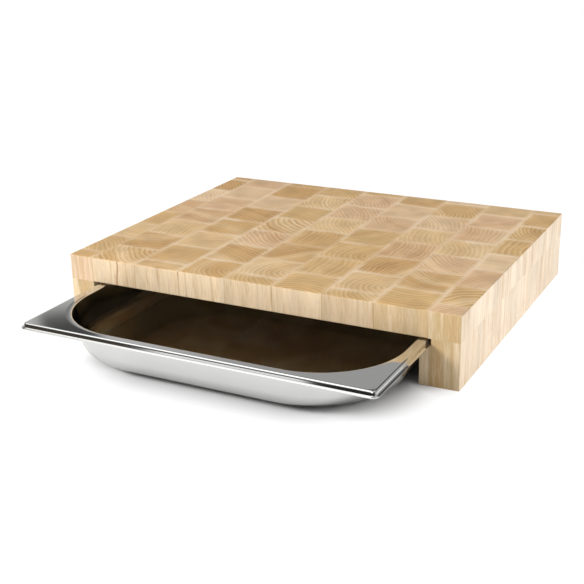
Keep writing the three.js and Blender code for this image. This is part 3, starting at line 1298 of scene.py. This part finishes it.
        with Shop.editing(tray):
            for upper in range(len(levels) - 1):
                Shop.select(Part.EDGE, lambda edge: in_outlines(edge, upper, upper + 1))
                bpy.ops.mesh.bridge_edge_loops()
            for number in range(1, len(levels)):
                Shop.select(Part.VERTEX, lambda vertex: vertex.index // count == number)
                bpy.ops.transform.translate(value=(0, 0, number * self.apart))
            Shop.select(Part.EDGE, lambda edge: in_outlines(edge, len(levels) - 1))
            bpy.ops.mesh.edge_face_add()
            bpy.ops.mesh.select_all(action="SELECT")
            bpy.ops.mesh.normals_make_consistent(inside=False)
        floor = max(tray.data.polygons, key=lambda face: face.area)
        if floor.normal.z < 0:
            with Shop.editing(tray):
                bpy.ops.mesh.flip_normals()
        return tray, count

    def build(self) -> None:
        """Bridges the outlines, gives the sheet its thickness, eases its cut edge and dresses it."""
        levels = self.levels()
        tray, count = self.bridge(levels)
        polish = tray.data.attributes.new("polish", "FLOAT", "POINT")
        for index in range(len(tray.data.vertices)):
            polish.data[index].value = levels[index // count].polish
        wall = tray.modifiers.new("sheet", "SOLIDIFY")
        wall.thickness = self.sheet
        wall.offset = -1.0
        wall.use_even_offset = True
        bpy.ops.object.modifier_apply(modifier=wall.name)
        cut = math.radians(self.cut_angle)
        Shop.round_edges(
            tray, self.lip_ease, self.lip_ease_steps, lambda edge: edge.calc_face_angle(0.0) > cut)
        Shop.deliver(tray, "tray", "tray", "steel", self.finish, self.crease)


@dataclass(frozen=True)
class Room:
    """What the steel mirrors: a grey room with a bright ceiling, dark where the camera stands.

    Directions are in degrees: a turn to the right from the front, and a rise above level. A pair of
    them says where something starts to show and where it is whole. A third number, after two, says
    how soft both ends are.
    """

    grey_wall: float = 0.40
    """The brightness of the walls at the back and the sides."""
    left_wall: float = 0.56
    left_wall_turns: Pair = (-150.0, -143.0)
    """Where the back wall starts to be as bright as the left one, and where it is."""
    side_floor: float = 0.45
    """The brightness of the room's floor beyond the table."""
    horizon: Pair = (-2.0, 2.0)
    cove: float = 0.10
    """The dark line between the back wall and the ceiling."""
    cove_rises: Span = (27.5, 41.0, 1.5)
    flag: float = 0.05
    """The small dark flag that the tray's front left corner mirrors."""
    flag_turns: Span = (-141.9, -138.7, 0.45)
    flag_rises: Span = (20.55, 24.5, 0.3)
    dark: float = 0.025
    """The room in front, behind the camera."""
    dark_sides: Pair = (84.0, 72.0)
    """How far to each side the dark front ends, and where it is whole."""
    front_top: float = 21.0
    front_soft: float = 4.0
    right_front: Pair = (42.0, 54.0)
    """Where the front starts to be dark higher up, on the right."""
    right_front_higher: float = 45.0
    panel: float = 0.95
    """The pale panel to the left of the camera."""
    panel_start: Pair = (-35.5, -32.5)
    panel_end: Pair = (-23.0, -24.0)
    panel_gap: Span = (-6.0, 21.0, 2.0)
    """The dark strip across the panel."""
    timber: Colour = (0.30, 0.27, 0.24)
    """The brownish dark to the left of the panel."""
    skirting: Colour = (0.33, 0.30, 0.37)
    """The dark strip at the panel's foot, which the edge of the lip mirrors."""
    skirting_turns: Pair = (-31.5, -28.0)
    skirting_rises: Span = (-27.0, -16.5, 1.0)
    table: float = 0.86
    """The table that the board stands on, as the tray's sides mirror it."""
    table_rises: Pair = (-26.0, -32.0)
    underneath: float = 0.30
    """The shade right below."""
    underneath_rises: Pair = (-62.0, -80.0)
    ceiling: float = 0.62
    ceiling_rises: Pair = (42.0, 50.0)
    lamp: float = 1.7
    """The lamp under the ceiling, which the front of the rim mirrors."""
    lamp_turns: Span = (-148.0, -20.0, 6.0)
    lamp_rises: Pair = (76.0, 68.0)
    window: Colour = (3.5, 3.5, 3.5)
    """The light above the camera, which reaches the top's underside by way of the tray."""
    window_turns: Span = (-14.0, 38.0, 3.0)
    window_rises: Span = (29.0, 60.0, 2.0)

    def colour(self, shader: Shader, direction: Socket) -> Socket:
        """Builds the room's colours.

        Args:
            shader: The sky's shader.
            direction: The direction looked in.

        Returns:
            The room's colour there.
        """
        degree = 180.0 / math.pi
        east, north, height = shader.parts(direction)
        turn = shader.math("ARCTAN2", east, 0.0 - north) * degree
        rise = shader.math("ARCSINE", height) * degree

        wall = turn.rise(*self.left_wall_turns).towards(self.grey_wall, self.left_wall)
        back = rise.rise(*self.horizon).towards(self.side_floor, wall)
        back = rise.inside(*self.cove_rises).towards(back, self.cove)
        flag = turn.inside(*self.flag_turns) * rise.inside(*self.flag_rises)
        back = flag.towards(back, self.flag)

        no_gap = 1.0 - rise.inside(*self.panel_gap)
        panel = turn.rise(*self.panel_start) * turn.rise(*self.panel_end) * no_gap
        front = shader.grey(panel.towards(self.dark, self.panel))
        left_of_panel = turn.rise(*reversed(self.panel_start)) * no_gap
        front = shader.blend(left_of_panel, front, linear(self.timber))
        skirting = turn.rise(*self.skirting_turns) * rise.inside(*self.skirting_rises)
        front = shader.blend(skirting, front, linear(self.skirting))
        front_top = turn.rise(*self.right_front) * self.right_front_higher + self.front_top
        ahead = turn.size().rise(*self.dark_sides) * rise.rise(front_top + self.front_soft, front_top)
        colour = shader.blend(ahead, shader.grey(back), front)

        table = rise.rise(*self.underneath_rises).towards(self.table, self.underneath)
        colour = shader.blend(rise.rise(*self.table_rises), colour, shader.grey(table))
        lamp = turn.inside(*self.lamp_turns) * rise.rise(*self.lamp_rises)
        overhead = shader.grey(lamp.towards(self.ceiling, self.lamp))
        colour = shader.blend(rise.rise(*self.ceiling_rises) * (1.0 - ahead), colour, overhead)
        window = turn.inside(*self.window_turns) * rise.inside(*self.window_rises)
        return shader.blend(window, colour, (*self.window, 1.0))


@dataclass(frozen=True)
class SoftBox:
    """A soft box, which the steel doesn't mirror."""

    name: str
    place: Span
    size: Pair
    power: float
    """In watts."""

    def build(self, aim: Vector) -> None:
        """Adds the light, turned to a point."""
        lamp = bpy.data.lights.new(self.name, "AREA")
        lamp.shape = "RECTANGLE"
        lamp.size, lamp.size_y = self.size
        lamp.energy = self.power
        box = bpy.data.objects.new(self.name, lamp)
        bpy.context.scene.collection.objects.link(box)
        box.location = self.place
        box.rotation_mode = "QUATERNION"
        box.rotation_quaternion = (aim - Vector(self.place)).to_track_quat("-Z", "Y")
        box.visible_glossy = False


@dataclass(frozen=True)
class Contact:
    """Where shade is painted on the floor round something, as a rectangle with a round about it, in metres.
    """

    middle: Pair
    half: Pair
    """Half the rectangle's width and depth."""
    around: float

    def distance(self, shader: Shader, place: Socket) -> Value:
        """How far a point of the floor is from its edge."""
        x, y, _ = shader.parts(place)
        across = ((x - self.middle[0]).size() - self.half[0]).most(0.0)
        along = ((y - self.middle[1]).size() - self.half[1]).most(0.0)
        return (across * across + along * along) ** 0.5 - self.around


@dataclass(frozen=True)
class Paper:
    """A floor's brightness at a contact, where shade is painted, and far from it, and between which
    distances each changes.
    """

    # Near a contact the glow fades out and the tint changes, which paints shade there on top of the real
    # shadow.
    tint: Pair
    tint_fade: Pair
    glow: Pair
    glow_fade: Pair
    rough: float = 0.8
    shine: float = 0.1

    def material(self, name: str, contacts: Sequence[Contact]) -> Material:
        """Builds the floor's finish.

        Args:
            name: The finish's name.
            contacts: Where shade is painted on it round the tray and the board.

        Returns:
            The finished material.
        """
        shader = Shader.of(name)
        place = shader.node("ShaderNodeTexCoord").outputs["Object"]
        first, *others = [contact.distance(shader, place) for contact in contacts]
        from_painted_shade = first
        for other in others:
            from_painted_shade = from_painted_shade.least(other)
        return shader.surface({
            "Base Color": shader.grey(from_painted_shade.rise(*self.tint_fade).towards(*self.tint)),
            "Roughness": self.rough,
            "Specular IOR Level": self.shine,
            "Emission Color": shader.grey(from_painted_shade.rise(*self.glow_fade).towards(*self.glow)),
            "Emission Strength": 1.0,
        })


@dataclass
class Studio:
    """The floor, the lights and the camera, set as in the photograph."""

    azimuth: float = 27.37
    elevation: float = 20.26
    roll: float = -1.063
    distance_shares: float = 2.914
    aim_shares: Pair = (-0.1046, -0.0058)
    """Where the camera aims, right and up from the board's foot, as shares of the board's width."""
    focal_pixels: float = 1098.1
    picture_pixels: float = 584.0
    sensor: float = 36.0
    clip: Pair = (0.01, 50.0)
    room: Room = Room()
    sky_strength: Pair = (0.10, 0.28)
    """The sky's strength near the horizon and overhead, where it lights the wood."""
    sky_heights: Pair = (0.05, 0.85)
    contacts: tuple[Contact, ...] = (
        Contact((0.012, -0.078), (0.058, 0.033), 0.076),
        Contact((-0.012, 0.055), (0.160, 0.145), 0.010),
    )
    # Where shade is painted on the floor round the tray and the board.
    """Where the tray and the board shade the floor."""
    seen_paper: Paper = Paper((0.60, 0.05), (0.000, 0.046), (0.0, 0.97), (-0.006, 0.040))
    """The floor as the eye sees it, no brighter than white, so that edges before it stay smooth."""
    lighting_paper: Paper = Paper((0.60, 0.975), (-0.012, 0.022), (0.0, 0.62), (-0.006, 0.050))
    """The floor as it lights the wood."""
    mirrored_paper: Paper = Paper((0.384, 0.624), (-0.012, 0.022), (0.0, 0.397), (-0.006, 0.050))
    """The floor as the steel mirrors it."""
    floor_size: float = 24.0
    bounce_drop: float = 0.2 * MM
    """How far the floor that lights the wood lies below the one that is seen."""
    table_corners: tuple[Span, Span] = ((-0.25, -0.275, -0.002), (0.26, 0.25, 0.0001))
    """The part of the floor that the steel mirrors."""
    aim: Span = (0.0, 0.0, 0.03)
    """What the soft boxes point at."""
    boxes: tuple[SoftBox, ...] = (
        SoftBox("right_box", (2.10, 0.35, 0.85), (1.4, 1.2), 30.0),
        SoftBox("left_box", (-3.00, -2.50, 2.30), (1.4, 1.4), 245.0),
    )

    def camera(self, low: Vector, high: Vector) -> None:
        """Sets the camera.

        Args:
            low: The board's lowest corner.
            high: The board's highest corner.
        """
        width = high.x - low.x
        azimuth, elevation, roll = map(math.radians, (self.azimuth, self.elevation, self.roll))
        back = Vector((
            math.sin(azimuth) * math.cos(elevation),
            -math.cos(azimuth) * math.cos(elevation),
            math.sin(elevation)))
        level = Vector((0, 0, 1)).cross(back).normalized()
        above = back.cross(level)
        right = level * math.cos(roll) + above * math.sin(roll)
        up = above * math.cos(roll) - level * math.sin(roll)
        foot = Vector(((low.x + high.x) / 2, (low.y + high.y) / 2, 0))
        aim = foot + Vector((self.aim_shares[0] * width, 0, self.aim_shares[1] * width))
        lens = bpy.data.cameras.new("camera")
        lens.sensor_width = self.sensor
        lens.lens = self.sensor * self.focal_pixels / self.picture_pixels
        lens.clip_start, lens.clip_end = self.clip
        camera = bpy.data.objects.new("camera", lens)
        bpy.context.scene.collection.objects.link(camera)
        turned = Matrix((right, up, back)).transposed().to_4x4()
        camera.matrix_world = Matrix.Translation(aim + back * self.distance_shares * width) @ turned
        bpy.context.scene.camera = camera

    def floor(self) -> None:
        """Lays the pale floor three times over: for the eye, for the wood and for the steel."""
        low, high = map(Vector, self.table_corners)
        table = Shop.cube("studio_table", low, high)
        sheets = []
        for name, drop in (("studio_floor", 0.0), ("studio_bounce", self.bounce_drop)):
            Shop.clear()
            bpy.ops.mesh.primitive_plane_add(size=self.floor_size, location=(0, 0, -drop))
            bpy.ops.object.transform_apply(location=True, rotation=True, scale=True)
            bpy.context.object.name = name
            sheets.append(bpy.context.object)
        papers = (self.seen_paper, self.lighting_paper, self.mirrored_paper)
        for piece, paper in zip((*sheets, table), papers):
            piece.data.materials.append(paper.material(piece.name, self.contacts))
            piece.visible_camera = paper is self.seen_paper
            piece.visible_diffuse = paper is self.lighting_paper
            piece.visible_glossy = paper is self.mirrored_paper
            piece.visible_shadow = False
            piece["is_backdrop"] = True

    def sky(self) -> None:
        """Makes the sky: plain white to the eye, soft light on the wood, and the room in the steel."""
        shader = Shader(bpy.data.worlds.new("studio_sky"))
        direction = shader.node("ShaderNodeTexCoord").outputs["Generated"]
        path = shader.node("ShaderNodeLightPath").outputs
        seen, glossy = (Value(shader, path[name]) for name in ("Is Camera Ray", "Is Glossy Ray"))
        height = shader.parts(direction)[2]
        light = shader.grey(height.rise(*self.sky_heights).towards(*self.sky_strength))
        colour = shader.blend(glossy, light, self.room.colour(shader, direction))
        colour = shader.blend(seen, colour, (1.0, 1.0, 1.0, 1.0))
        background = shader.node("ShaderNodeBackground", None, {"Color": colour, "Strength": 1.0})
        shader.node("ShaderNodeOutputWorld", None, {"Surface": background.outputs[0]})
        bpy.context.scene.world = shader.owner

    def build(self, low: Vector, high: Vector) -> None:
        """Sets up the whole studio around the board."""
        self.camera(low, high)
        self.floor()
        self.sky()
        for box in self.boxes:
            box.build(Vector(self.aim))
        view = bpy.context.scene.view_settings
        view.view_transform = "Standard"
        view.look = "None"


def main(cad: Sequence[Vector]) -> None:
    """Builds the board, the tray and the studio.

    Args:
        cad: The lowest and highest corner of the CAD model; not used.
    """
    logging.basicConfig(level=logging.INFO, format="%(message)s", stream=sys.stdout)
    joinery = Joinery(EndGrain().material())
    Studio().build(joinery.low, joinery.high)
    Top(joinery).build()
    for side in Side:
        SideRail(side, joinery).build()
    BackRail(joinery).build()
    Tray(PressedSteel().material()).build()


if __name__ == "__main__":
    main(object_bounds())
